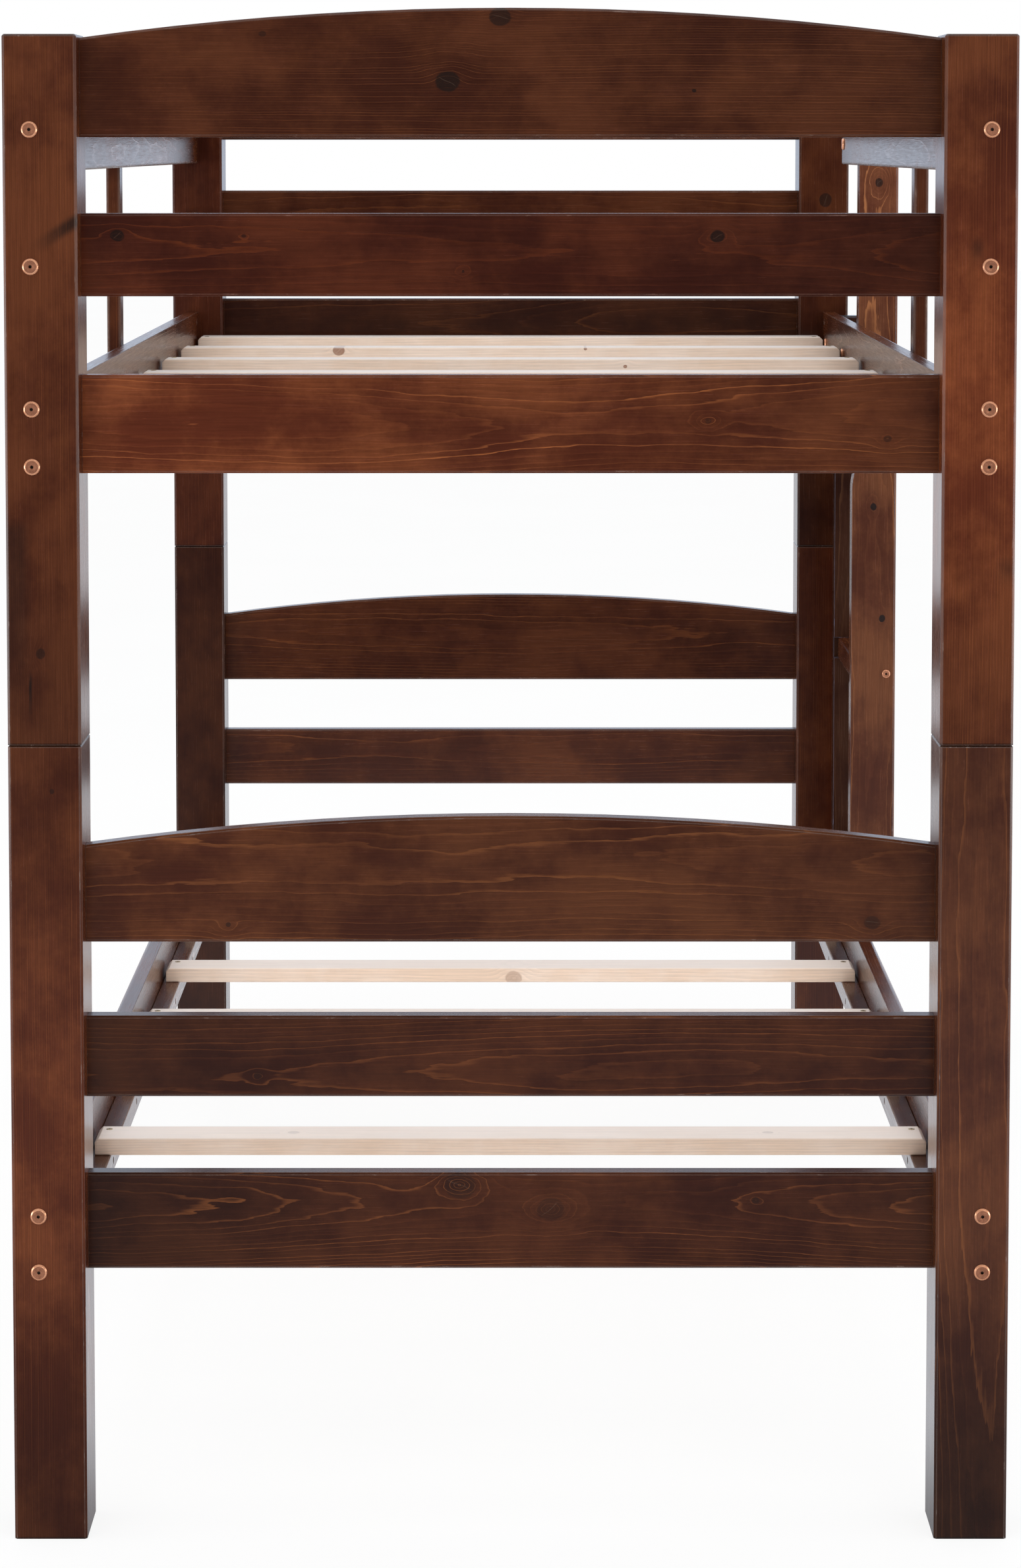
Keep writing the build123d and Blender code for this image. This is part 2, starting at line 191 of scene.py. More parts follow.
# Round knots: how far their outline and the rings about them waver in metres, their stretch along
# the grain, and the rings' spread and blend. Where the colour and the crack start and are full is
# in radii, and the crack's width is in metres
TIGHT_WARP = 0.003
LOOSE_WARP = 0.007
KNOT_STRETCH = (0.85, 1, 1)
RING_STRETCH = (0.6, 1, 1)
KNOT_SPREAD = 1.1
KNOT_BLEND = 0.006
KNOT_BLEND_SHARE = 1.3
KNOT_EDGE = (1.06, 0.86)
CRACK_END = (0.95, 0.5)
CRACK_WIDTH = (0.0006, 0.0001)
CRACK_TURN = 5000.0
CRACK_SHARE = 0.18
LARGEST_UNCRACKED = 0.005

# Stain, end grain darkened with a painted joint shadow, a painted sheen on top faces, edges with a
# painted highlight, and surface
CLOUD_SHARE = 0.62
BLOTCH_RANGE = (0.36, 0.64)
FIBRE_RANGE = (0.25, 0.75)
RING_SHADE = 0.14
# Board ends darken as end grain and as a painted shadow where boards meet
END_GRAIN_AND_JOINT_SHADE = (0.0026, 0.0016)
KNOT_RING_SHADE = -0.45
# Faces that look up take a painted sheen: the tilt where it starts and is full, and its share
TOP_SHEEN_TILT = (0.5, 0.95)
TOP_SHEEN_SHARE = 0.6
EDGE_TURN = (0.985, 0.90)
RUB_SOFTNESS = 0.08
FIBRE_MATT = 0.16
BLOTCH_MATT = 0.10
LINE_MATT = -0.07
FIBRE_HEIGHT = 0.5
LINE_HEIGHT = 0.8
GRAIN_DEPTH = 0.0003
NAP_ROUGHNESS = 0.35
NAP_TINT = (0.86, 0.92, 1.0, 1.0)


def off_line(tree, place, spot, way):
    """How far a place is off a line through a spot, as a vector, and how far along it lies."""
    away = vector(tree, "SUBTRACT", place, spot)
    along = vector(tree, "DOT_PRODUCT", away, way)
    return vector(tree, "SUBTRACT", away, vector(tree, "SCALE", way, scale=along)), along


def grain_place(tree, axis, centre):
    """The place in a board, measured from its centre in grain order."""
    place = node(tree, "TexCoord").outputs["Object"]
    place = vector(tree, "SUBTRACT", place, centre)
    parts = node(tree, "SeparateXYZ", {0: place}).outputs
    ordered = {i: parts[source] for i, source in enumerate(GRAIN_ORDER[axis])}
    return node(tree, "CombineXYZ", ordered).outputs[0]


def ring_age(tree, place, seeded, figure):
    """How far out from the pith a place is.

    The pith line wanders slowly along the board, and the rings ripple a little."""
    wander = figure["wander"]
    bent = moved(tree, place, drift(tree, seeded, PITH_WANDER, 1.0), wander)
    bent = moved(tree, bent, drift(tree, seeded, RING_RIPPLE, 3.0), wander * RIPPLE_SHARE)
    out = vector(tree, "SUBTRACT", bent, (0, *figure["pith"]))
    return vector(tree, "LENGTH", vector(tree, "MULTIPLY", out, ACROSS_GRAIN))


def streak_mark(tree, place, spot, radius, depth, way, length):
    """How deep the colour of a soft streak is."""
    away, along = off_line(tree, place, spot, way)
    clear, full = STREAK_ACROSS
    mark = step(tree, vector(tree, "LENGTH", away), radius * clear, radius * full, 0.0, depth)
    begun = step(tree, along, STREAK_START, length * STREAK_FULL_AT)
    ended = step(tree, along, length + STREAK_GONE, length + STREAK_FADE)
    return calc(tree, "MULTIPLY", calc(tree, "MULTIPLY", mark, begun), ended)


def knot_mark(tree, place, spot, radius, depth, way):
    """How deep the colour of a round knot is, and how far a place is from its middle."""
    away = off_line(tree, place, spot, way)[0]
    out = vector(tree, "LENGTH", vector(tree, "MULTIPLY", away, KNOT_STRETCH))
    edge, full = KNOT_EDGE
    return step(tree, out, radius * edge, radius * full, 0.0, depth), out


def knot_crack(tree, away, out, radius, way):
    """A fine crack across a knot, turned its own way."""
    turn = Vector((math.sin(radius * CRACK_TURN), 0, 0)) + Vector(way).cross((1, 0, 0))
    crack = vector(tree, "DOT_PRODUCT", away, tuple(turn.normalized()))
    crack = step(tree, calc(tree, "ABSOLUTE", crack), *CRACK_WIDTH)
    end, full = CRACK_END
    return calc(tree, "MULTIPLY", crack, step(tree, out, radius * end, radius * full))


def add_knots(tree, place, seeded, age, pith, knots):
    """Each round knot is a branch with its own rings, which the trunk's rings flow round.

    Gives the bent rings, how deep the knots' and streaks' colour is, and the larger knots' cracks."""
    marks = []
    cracks = []
    warp = drift(tree, seeded, KNOT_WARP, 2.0)
    loose = moved(tree, place, warp, LOOSE_WARP)
    tight = moved(tree, place, warp, TIGHT_WARP)
    for spot, radius, depth, way, length in knots:
        if length:
            marks.append(streak_mark(tree, tight, spot, radius, depth, way, length))
            continue
        away = off_line(tree, loose, spot, way)[0]
        far = vector(tree, "LENGTH", vector(tree, "MULTIPLY", away, RING_STRETCH))
        reach = math.hypot(spot[1] - pith[0], spot[2] - pith[1])
        branch = calc(tree, "MULTIPLY_ADD", far, KNOT_SPREAD, reach - radius * KNOT_SPREAD)
        age = calc(tree, "SMOOTH_MIN", age, branch, KNOT_BLEND + radius * KNOT_BLEND_SHARE)
        mark, out = knot_mark(tree, tight, spot, radius, depth, way)
        marks.append(mark)
        if radius > LARGEST_UNCRACKED:
            cracks.append(knot_crack(tree, away, out, radius, way))
    return age, greatest(tree, marks), greatest(tree, cracks)


def late_wood(tree, seeded, age, ring, seed, weakest):
    """Thin lines of late wood, sharp on the outer side, some stronger than others.

    Gives the lines, and how far through its ring each place is."""
    jitter = noise(tree, seeded, RING_JITTER, 4.0, 0.6).outputs["Fac"]
    jitter = calc(tree, "MULTIPLY", jitter, JITTER_SHARE)
    phase = calc(tree, "MULTIPLY_ADD", age, 1 / ring, jitter)
    part = calc(tree, "FRACT", phase)
    line = calc(tree, "MULTIPLY", step(tree, part, *LINE_RISE), step(tree, part, *LINE_FALL))
    which = calc(tree, "ADD", calc(tree, "FLOOR", phase), seed)
    chance = node(tree, "TexWhiteNoise", {"W": which}, noise_dimensions="1D").outputs["Value"]
    strength = step(tree, chance, *LINE_CHANCE, weakest, 1.0)
    patch = noise(tree, seeded, LINE_PATCH, 3.0).outputs["Fac"]
    fade = step(tree, patch, *PATCH_RANGE, FAINT_PATCH, 1.0)
    line = calc(tree, "MULTIPLY", calc(tree, "MULTIPLY", line, strength), fade)
    return line, part


def wood(name, axis, centre, half, figure, seed, tones, colours, knots, finish):
    """Solid wood: growth rings round a pith line that runs along the grain axis, bent round knots.

    A knot is (place, radius, depth of colour, way, length): with no length it is a round branch that
    runs the way it says, and with one it is a soft streak that far along the way. Places and the
    pith are in grain order, measured from the board's centre. Tones are how light the board is at
    its low end, its middle and its high end."""
    material, tree, shader = new_material(name)
    place = grain_place(tree, axis, centre)
    seeded = vector(tree, "ADD", place, tuple(seed * share for share in SEED_SHARES))
    age = ring_age(tree, place, seeded, figure)
    age, inside, cracks = add_knots(tree, place, seeded, age, figure["pith"], knots)
    line, part = late_wood(tree, seeded, age, figure["ring"], seed, finish["line_low"])
    fibre = noise(tree, seeded, FIBRE, 3.0, 0.6).outputs["Fac"]
    cloud = noise(tree, seeded, CLOUD, 2.0).outputs["Fac"]
    blotch = noise(tree, seeded, BLOTCH, 5.0, 0.65).outputs["Fac"]
    blotch = calc(tree, "MULTIPLY", blotch, 1.0 - CLOUD_SHARE)
    blotch = calc(tree, "MULTIPLY_ADD", cloud, CLOUD_SHARE, blotch)

    # Stain takes unevenly in clouds and fine streaks; the slow change from end to end is partly painted
    # light and shade, and the darker ends are end grain with a painted shadow at the joints
    colour = mix(tree, step(tree, blotch, *BLOTCH_RANGE), colours["dark"], colours["light"])
    colour = mix(tree, calc(tree, "MULTIPLY", line, figure["line"]), colour, colours["line"])
    streak = step(tree, fibre, *FIBRE_RANGE, 1.0 - finish["streak"], 1.0 + finish["streak"])
    ring_shade = calc(tree, "MULTIPLY_ADD", part, RING_SHADE, 1.0 - RING_SHADE / 2)
    streak = calc(tree, "MULTIPLY", streak, ring_shade)
    run = node(tree, "SeparateXYZ", {0: place}).outputs[0]
    # The change from end to end is partly the board's own tone and partly painted light and shade
    tone = step(tree, run, -half, 0.0, tones[0], tones[1])
    tone = calc(tree, "ADD", tone, step(tree, run, 0.0, half, 0.0, tones[2] - tones[1]))
    # Darker ends: end grain, and a painted shadow where boards meet at the joints
    start, full = END_GRAIN_AND_JOINT_SHADE
    end_grain_and_joint_shade = step(tree, calc(tree, "ABSOLUTE", run), half - start, half - full, 1.0, finish["end_grain_and_joint_shade"])
    shade = calc(tree, "MULTIPLY", calc(tree, "MULTIPLY", streak, tone), end_grain_and_joint_shade)
    colour = mix(tree, 1.0, colour, shade, "MULTIPLY")
    if inside is not None:
        rings = calc(tree, "MULTIPLY_ADD", line, KNOT_RING_SHADE, 1.0)
        colour = mix(tree, calc(tree, "MULTIPLY", inside, rings), colour, colours["knot"])
    if cracks is not None:
        colour = mix(tree, calc(tree, "MULTIPLY", cracks, CRACK_SHARE), colour, colours["crack"])

    # Top faces lightened by a painted sheen, and edges that are eased by the finish, lightened all along
    # by a painted highlight and rubbed through in places
    eased = node(tree, "Bevel", {"Radius": figure["ease"]}, samples=4).outputs[0]
    flat = node(tree, "NewGeometry").outputs["Normal"]
    if "top" in colours:
        upward = node(tree, "SeparateXYZ", {0: flat}).outputs[2]
        painted_top_sheen = step(tree, upward, *TOP_SHEEN_TILT, 0.0, TOP_SHEEN_SHARE)
        colour = mix(tree, painted_top_sheen, colour, colours["top"])
    edge = step(tree, vector(tree, "DOT_PRODUCT", eased, flat), *EDGE_TURN)
    chip = noise(tree, seeded, CHIP, 4.0, 0.65).outputs["Fac"]
    rub = step(tree, chip, finish["rub"], finish["rub"] + RUB_SOFTNESS, finish["edge_highlight"], 1.0)
    colour = mix(tree, calc(tree, "MULTIPLY", edge, rub), colour, colours["rubbed_and_highlight"])

    # Fibres and blotches change how matt it is, and late wood is smoother and stands a little proud
    matt = calc(tree, "MULTIPLY_ADD", fibre, FIBRE_MATT, finish["rough"] - FIBRE_MATT / 2)
    matt = calc(tree, "SUBTRACT", matt, BLOTCH_MATT / 2)
    matt = calc(tree, "MULTIPLY_ADD", blotch, BLOTCH_MATT, matt)
    matt = calc(tree, "MULTIPLY_ADD", line, LINE_MATT, matt)
    height = calc(tree, "MULTIPLY", line, LINE_HEIGHT)
    height = calc(tree, "MULTIPLY_ADD", fibre, FIBRE_HEIGHT, height)
    relief = {"Height": height, "Normal": eased, "Strength": finish["bump"], "Distance": GRAIN_DEPTH}
    put(tree, shader.inputs["Base Color"], colour)
    put(tree, shader.inputs["Roughness"], matt)
    put(tree, shader.inputs["Normal"], node(tree, "Bump", relief).outputs[0])
    shader.inputs["Specular IOR Level"].default_value = finish["shine"]
    shader.inputs["Sheen Weight"].default_value = finish["nap"]
    shader.inputs["Sheen Roughness"].default_value = NAP_ROUGHNESS
    shader.inputs["Sheen Tint"].default_value = NAP_TINT
    return material


# Colours of stained and of bare pine, and the finish of each: how weak the weakest lines are, how
# much fibres streak it, how rough it is, the depth of the grain, the shine, how seldom edges are
# rubbed through, its nap, how strong the painted highlight all along the edges is and how light the
# end grain is, with its painted shadow at the joints
STAIN = {
    "dark": (0.039, 0.0074, 0.0025),
    "light": (0.084, 0.0216, 0.0064),
    "line": (0.200, 0.0620, 0.0180),
    "knot": (0.011, 0.0050, 0.0036),
    "crack": (0.150, 0.0950, 0.0650),
    # Edges take this colour as real rubbing and, all along them, as a painted highlight
    "rubbed_and_highlight": (0.330, 0.2500, 0.2100),
}
STAINED = {
    "line_low": 0.10, "streak": 0.13, "rough": 0.25, "bump": 0.30, "shine": 0.22, "rub": 0.58,
    "nap": 0.0, "edge_highlight": 0.32, "end_grain_and_joint_shade": 0.45,
}
PINE = {
    "dark": (0.840, 0.6350, 0.4900),
    "light": (0.900, 0.7250, 0.6000),
    "line": (0.720, 0.5000, 0.3300),
    "knot": (0.300, 0.1500, 0.0900),
    "crack": (0.850, 0.7200, 0.6000),
    "rubbed_and_highlight": (0.800, 0.6500, 0.5000),
    # The top colour is a painted sheen on faces that look up
    "top": (0.870, 0.8000, 0.7500),
}
BARE = {
    "line_low": 0.15, "streak": 0.07, "rough": 0.46, "bump": 0.25, "shine": 0.50, "rub": 0.70,
    "nap": 0.30, "edge_highlight": 0.0, "end_grain_and_joint_shade": 0.92,
}

# How much lighter or darker than the rest each board is: low end, middle, high end. Partly the
# board's own tone and partly painted light and shade, such as the lit middle of the upper front right
# post and the painted shadow at the foot of the lower front right post
TONES_AND_PAINTED_LIGHT = {
    "upper_post_front_left": (0.82, 1.22, 1.26), "upper_post_front_right": (1.10, 2.40, 1.30),
    "lower_post_front_left": (0.74, 1.70, 1.02), "lower_post_front_right": (0.36, 1.24, 1.02),
    "lower_post_rear_left": (0.45, 0.50, 0.50), "lower_post_rear_right": (0.90, 0.92, 0.90),
    "upper_post_rear_left": (0.66, 0.78, 0.78), "lower_arch_rail_rear": (0.78, 0.74, 0.76),
    "upper_mid_rail_rear": (0.84, 0.80, 0.80), "upper_bed_rail_rear": (0.55, 0.52, 0.50),
    "upper_arch_rail_front": (1.04, 0.88, 0.80), "upper_mid_rail_front": (0.92, 0.80, 0.60),
    "upper_bed_rail_front": (2.40, 1.64, 1.06), "lower_arch_rail_front": (1.28, 1.00, 0.98),
    "lower_mid_rail_front": (0.60, 0.80, 0.70), "lower_bed_rail_front": (0.46, 0.84, 0.68),
    "ladder_stile_front": (1.35, 1.48, 2.30), "ladder_stile_rear": (0.42, 0.44, 0.46),
    "upper_post_rear_right": (0.48, 0.75, 0.85),
}

# How light the slats of each bed are, and one slat that differs: lower slat 2 is lightened as
# painted light against the front rail's shadow
SLAT_TONES = {"lower": 1.0, "upper": 0.84, "lower_slat_2": 1.08}

# Boards that took the stain redder or greyer than the rest; the ladder stiles' greyer, bluer hue is
# partly a painted reflection
HUES = {
    "upper_mid_rail_front": (1.03, 0.78, 0.72), "upper_post_rear_left": (1.00, 0.84, 0.84),
    "lower_arch_rail_front": (1.00, 1.12, 1.16), "lower_post_front_right": (1.00, 1.12, 1.22),
    "ladder_stile_front": (0.99, 1.26, 1.60), "ladder_stile_rear": (1.00, 1.40, 2.40),
}

# Boards whose finish shines more than the rest
SHINE = {"lower_post_front_right": 0.30, "ladder_stile_front": 0.32, "lower_mid_rail_rear": 0.34}

# How the boards that show most are sawn: where the pith lies, ring width, wander and strength of
# the lines
SAWN = {
    "upper_arch_rail_front": ((0.03, -0.16), 0.0026, 0.034, 0.55),
    "upper_mid_rail_front": ((0.05, 0.0), 0.0034, 0.034, 0.24),
    "upper_bed_rail_front": ((0.05, 0.01), 0.0032, 0.046, 0.75),
    "lower_arch_rail_front": ((0.055, 0.02), 0.0042, 0.060, 0.80),
    "lower_mid_rail_front": ((0.05, -0.02), 0.0030, 0.040, 0.62),
    "lower_bed_rail_front": ((0.05, 0.02), 0.0029, 0.050, 1.25),
    "lower_post_front_right": ((0.012, 0.055), 0.0030, 0.030, 0.44),
    "ladder_stile_front": ((0.0, 0.050), 0.0030, 0.050, 0.62),
}

# Knots that show: (x, y, z) in the row frame, radius, depth of colour, the way they run, and the
# length of a streak, or 0 for a round knot
THROUGH = (0, 1, 0)
UP = (0, 0, 1)
KNOTS = {
    "upper_arch_rail_front": [
        ((-0.0868, -1.013, 1.5649), 0.0112, 0.85, THROUGH, 0),
        ((-0.0315, -1.013, 1.6330), 0.0100, 0.75, THROUGH, 0),
        ((0.1737, -1.013, 1.5552), 0.0020, 0.9, THROUGH, 0),
        ((-0.2820, -1.013, 1.6150), 0.0035, 0.5, THROUGH, 0),
    ],
    "upper_mid_rail_front": [
        ((-0.4370, -1.013, 1.4020), 0.0066, 0.9, THROUGH, 0),
        ((-0.3030, -1.013, 1.4020), 0.0022, 0.6, THROUGH, 0),
        ((-0.0704, -1.013, 1.3637), 0.0014, 0.8, THROUGH, 0),
        ((0.1990, -1.013, 1.4010), 0.0068, 0.9, THROUGH, 0),
    ],
    "upper_bed_rail_front": [
        ((0.3810, -1.013, 1.1856), 0.0040, 0.5, THROUGH, 0),
        ((0.1900, -1.013, 1.2050), 0.0030, 0.5, THROUGH, 0),
    ],
    "lower_arch_rail_front": [
        ((0.3680, -1.013, 0.6650), 0.0075, 0.5, THROUGH, 0),
        ((-0.3230, -1.013, 0.6630), 0.0025, 0.7, THROUGH, 0),
    ],
    "lower_mid_rail_front": [((-0.2913, -1.013, 0.4980), 0.0045, 0.35, THROUGH, 0)],
    "lower_bed_rail_front": [
        ((-0.0746, -1.013, 0.3784), 0.0150, 0.45, THROUGH, 0),
        ((0.0232, -1.013, 0.3519), 0.0130, 0.35, THROUGH, 0),
        ((0.2440, -1.013, 0.3617), 0.0035, 0.5, THROUGH, 0),
    ],
    "upper_post_front_left": [
        ((-0.5194, -1.045, 1.3903), 0.0058, 0.85, (0.84, 0, 0.54), 0.060),
        ((-0.5180, -1.045, 0.9600), 0.0050, 0.60, THROUGH, 0),
        ((-0.5290, -1.045, 0.8960), 0.0014, 0.90, UP, 0.041),
        ((-0.5440, -1.045, 0.8700), 0.0110, 0.50, UP, 0.230),
    ],
    "upper_post_front_right": [
        ((0.4710, -1.045, 1.3780), 0.0055, 0.55, UP, 0.020),
        ((0.5060, -1.045, 1.0350), 0.0090, 0.45, UP, 0.026),
    ],
    "lower_post_front_left": [((-0.5070, -1.045, 0.8130), 0.0026, 0.6, THROUGH, 0)],
    "ladder_stile_front": [
        ((0.5250, 0.585, 1.4420), 0.0060, 0.80, THROUGH, 0),
        ((0.5200, 0.585, 0.9600), 0.0050, 0.95, THROUGH, 0),
        ((0.5338, 0.585, 0.7934), 0.0050, 0.95, THROUGH, 0),
    ],
    "upper_post_rear_right": [((0.4765, 0.959, 1.4110), 0.0100, 0.75, THROUGH, 0)],
    "lower_slat_2": [
        ((-0.2770, -0.616, 0.3315), 0.0060, 0.6, UP, 0),
        ((0.2840, -0.616, 0.3315), 0.0055, 0.6, UP, 0),
    ],
    "lower_slat_5": [((-0.0160, 0.2795, 0.3175), 0.0105, 0.45, THROUGH, 0)],
    "upper_slat_5": [((0.1410, 0.2795, 1.1870), 0.0024, 0.95, THROUGH, 0)],
    "upper_slat_6": [
        ((-0.2750, 0.5875, 1.1935), 0.0080, 0.90, THROUGH, 0),
        ((0.0910, 0.5875, 1.1960), 0.0024, 0.95, THROUGH, 0),
    ],
}

# What a board's figure is drawn from, where it isn't given above. Sizes in metres
DICE_START = 17
DICE_STEP = 7919
SEED_START = 3.0
SEED_STEP = 1.7
BOARD_TONES = (0.80, 1.05)
POST_PITH_OFF = (0.075, 0.11)
POST_PITH_SIDE = (-0.03, 0.03)
POST_RINGS = (0.0018, 0.0024)
POST_WANDER = 0.014
POST_LINES = 0.34
SLAT_TONE_SPREAD = (0.96, 1.03)
SLAT_PITH_SIDE = (-0.02, 0.02)
SLAT_PITH_DOWN = (0.03, 0.07)
SLAT_RINGS = (0.0028, 0.0042)
SLAT_WANDER = 0.030
SLAT_LINES = 0.34
SLAT_KNOT_CHANCE = 0.7
SLAT_KNOT_ALONG = (-0.4, 0.4)
SLAT_KNOT_ACROSS = (-0.02, 0.02)
SLAT_KNOT_RADIUS = (0.003, 0.006)
SLAT_KNOT_DEPTH = 0.55
BOARD_PITH_OFF = (0.035, 0.075)
BOARD_PITH_SHARE = (-0.35, 0.35)
BOARD_RINGS = (0.0028, 0.0040)
BOARD_WANDER = 0.036
BOARD_LINES = 0.55
EDGE_EASE = 0.0016
GUARD_EDGE_EASE = 0.0045


def grain_axis(name):
    """The axis that a board's grain runs along."""
    if "post" in name or "stile" in name or "upright" in name:
        return "Z"
    if "side_rail" in name or "cleat" in name or "guard" in name or "rung" in name:
        return "Y"
    return "X"


def dress(name, index):
    """Gives one board its own piece of wood."""
    dice = random.Random(index * DICE_STEP + DICE_START)
    low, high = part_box(name)
    centre = (low + high) / 2
    size = high - low
    axis = grain_axis(name)
    order = GRAIN_ORDER[axis]
    across = [size[order[1]], size[order[2]]]
    thin = 0 if across[0] < across[1] else 1
    pith = [0.0, 0.0]
    random_tones = [dice.uniform(*BOARD_TONES) for _ in range(3)]
    tones = TONES_AND_PAINTED_LIGHT.get(name, random_tones)
    base, finish = STAIN, STAINED
    if "post" in name:
        pith = [dice.choice((-1, 1)) * dice.uniform(*POST_PITH_OFF), dice.uniform(*POST_PITH_SIDE)]
        ring, wander, line = dice.uniform(*POST_RINGS), POST_WANDER, POST_LINES
    elif "slat" in name:
        base, finish = PINE, BARE
        level = SLAT_TONES.get(name, SLAT_TONES[name[:5]])
        tones = [level * dice.uniform(*SLAT_TONE_SPREAD) for _ in range(3)]
        pith = [dice.uniform(*SLAT_PITH_SIDE), -dice.uniform(*SLAT_PITH_DOWN)]
        ring, wander, line = dice.uniform(*SLAT_RINGS), SLAT_WANDER, SLAT_LINES
    else:
        pith[thin] = dice.choice((-1, 1)) * dice.uniform(*BOARD_PITH_OFF)
        pith[1 - thin] = dice.uniform(*BOARD_PITH_SHARE) * across[1 - thin]
        ring, wander, line = dice.uniform(*BOARD_RINGS), BOARD_WANDER, BOARD_LINES
    pith, ring, wander, line = SAWN.get(name, (pith, ring, wander, line))
    ease = GUARD_EDGE_EASE if "guard" in name else EDGE_EASE
    figure = {"pith": tuple(pith), "ring": ring, "wander": wander, "line": line, "ease": ease}
    knots = []
    for spot, radius, depth, way, length in KNOTS.get(name, []):
        spot = Vector(spot) - centre
        spot = tuple(spot[i] for i in order)
        knots.append((spot, radius, depth, tuple(way[i] for i in order), length))
    if "slat" in name and not knots and dice.random() < SLAT_KNOT_CHANCE:
        spot = (dice.uniform(*SLAT_KNOT_ALONG), dice.uniform(*SLAT_KNOT_ACROSS), size.z / 2)
        knots.append((spot, dice.uniform(*SLAT_KNOT_RADIUS), SLAT_KNOT_DEPTH, UP, 0))
    hue = HUES.get(name, (1.0, 1.0, 1.0))
    colours = {}
    for key, colour in base.items():
        colours[key] = tuple(part * share for part, share in zip(colour, hue)) + (1.0,)
    half = size[order[0]] / 2
    seed = SEED_START + index * SEED_STEP
    finish = dict(finish, shine=SHINE.get(name, finish["shine"]))
    material = wood(
        "wood_" + name, axis, tuple(centre), half, figure, seed, tones, colours, knots, finish
    )
    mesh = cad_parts[name].data
    mesh.materials.clear()
    mesh.materials.append(material)


# Metal
TARNISH_RANGE = (0.40, 0.62)
TARNISH_MATT = 0.18
METAL_BUMP = 0.08
METAL_DEPTH = 0.0002


def metal(name, bright, dull, rough, scale, share=1.0):
    """Plated metal with a patchy tarnish; a share below 1 is dulled by a lacquer."""
    material, tree, shader = new_material(name)
    place = node(tree, "TexCoord").outputs["Object"]
    patch = noise(tree, place, (scale,) * 3, 4.0, 0.6).outputs["Fac"]
    speck = noise(tree, place, (scale * 6,) * 3, 3.0, 0.7).outputs["Fac"]
    tarnish = calc(tree, "MULTIPLY_ADD", speck, 0.5, calc(tree, "MULTIPLY", patch, 0.5))
    tarnish = step(tree, tarnish, *TARNISH_RANGE)
    put(tree, shader.inputs["Base Color"], mix(tree, tarnish, bright + (1.0,), dull + (1.0,)))
    put(tree, shader.inputs["Roughness"], calc(tree, "MULTIPLY_ADD", tarnish, TARNISH_MATT, rough))
    bump = node(tree, "Bump", {"Height": speck, "Strength": METAL_BUMP, "Distance": METAL_DEPTH})
    put(tree, shader.inputs["Normal"], bump.outputs[0])
    shader.inputs["Metallic"].default_value = share
    return material


COPPER_RIM = metal("copper_rim", (0.98, 0.49, 0.29), (0.84, 0.37, 0.20), 0.20, 180.0, 0.60)
COPPER_FACE = metal("copper_face", (0.46, 0.192, 0.108), (0.30, 0.115, 0.063), 0.36, 260.0, 0.60)
# A near-black metal that paints shade into bolt sockets and screw recesses
RECESS_SHADE = metal("painted_recess_shade", (0.10, 0.065, 0.05), (0.035, 0.022, 0.016), 0.5, 300.0)
ZINC = metal("zinc", (0.66, 0.67, 0.69), (0.46, 0.46, 0.47), 0.30, 90.0)
SCREW = metal("screw", (0.52, 0.40, 0.24), (0.26, 0.19, 0.11), 0.36, 240.0)

# Bolts: the slots of their three materials, sizes, and the head's profile from the dished face out
# over the bright rim, as shares of its radius and depths below its top
RIM_SLOT = 0
FACE_SLOT = 1
# The socket's near-black slot is painted shade
RECESS_SHADE_SLOT = 2
BOLT_SIDES = 48
BOLT_END_BAND = 0.004
HEAD_THICK = 0.003
HEAD_UNDERSIDE = 0.985
SHANK_RADIUS = 0.0029
SHANK_TIP_RADIUS = 0.0022
SHANK_TIP_LENGTH = 0.001
SOCKET_RADIUS = 0.0019
SOCKET_RIM = (1.35, 0.00035)
SOCKET_LIP = (1.45, 0.00012)
SOCKET_TOP = 0.00045
SOCKET_FLOOR = 0.0024
SOCKET_TAPER = 0.96
HEAD_PROFILE = (
    (0.71, 0.00012), (0.74, 0.00020), (0.77, 0.00002), (0.79, 0.00004),
    (0.82, 0.00022), (0.89, 0.00082), (0.96, 0.00142), (1.0, 0.0021),
)
BOLT_BANDS = [FACE_SLOT] * 4 + [RIM_SLOT] * 6 + [FACE_SLOT] * 4

# Screws: the crown's profile, as shares of the radius and heights, and the cross recess in it
SCREW_SIDES = 32
SCREW_PROFILE = (
    (1.0, -0.0004), (1.0, 0.00012), (0.93, 0.00034), (0.78, 0.00056), (0.62, 0.00068),
)
RECESS_ARM_WIDTH = 0.14
RECESS_CORE = 0.18
RECESS_REACH = 0.38
RECESS_TAPER = 0.86
RECESS_TOP = 0.00072
RECESS_FLOOR = 0.00016
SAME_POINT = 1e-6


def islands(name):
    """The vertices of each separate solid of a CAD node."""
    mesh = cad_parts[name].data
    keys = [tuple(round(c, 6) for c in v.co) for v in mesh.vertices]
    leader = {key: key for key in keys}

    def find(key):
        while leader[key] != key:
            leader[key] = leader[leader[key]]
            key = leader[key]
        return key

    for polygon in mesh.polygons:
        first = find(keys[polygon.vertices[0]])
        for other in polygon.vertices[1:]:
            leader[find(keys[other])] = first
    groups = {}
    for key in sorted(leader):
        groups.setdefault(find(key), []).append(Vector(key))
    return [groups[key] for key in sorted(groups)]


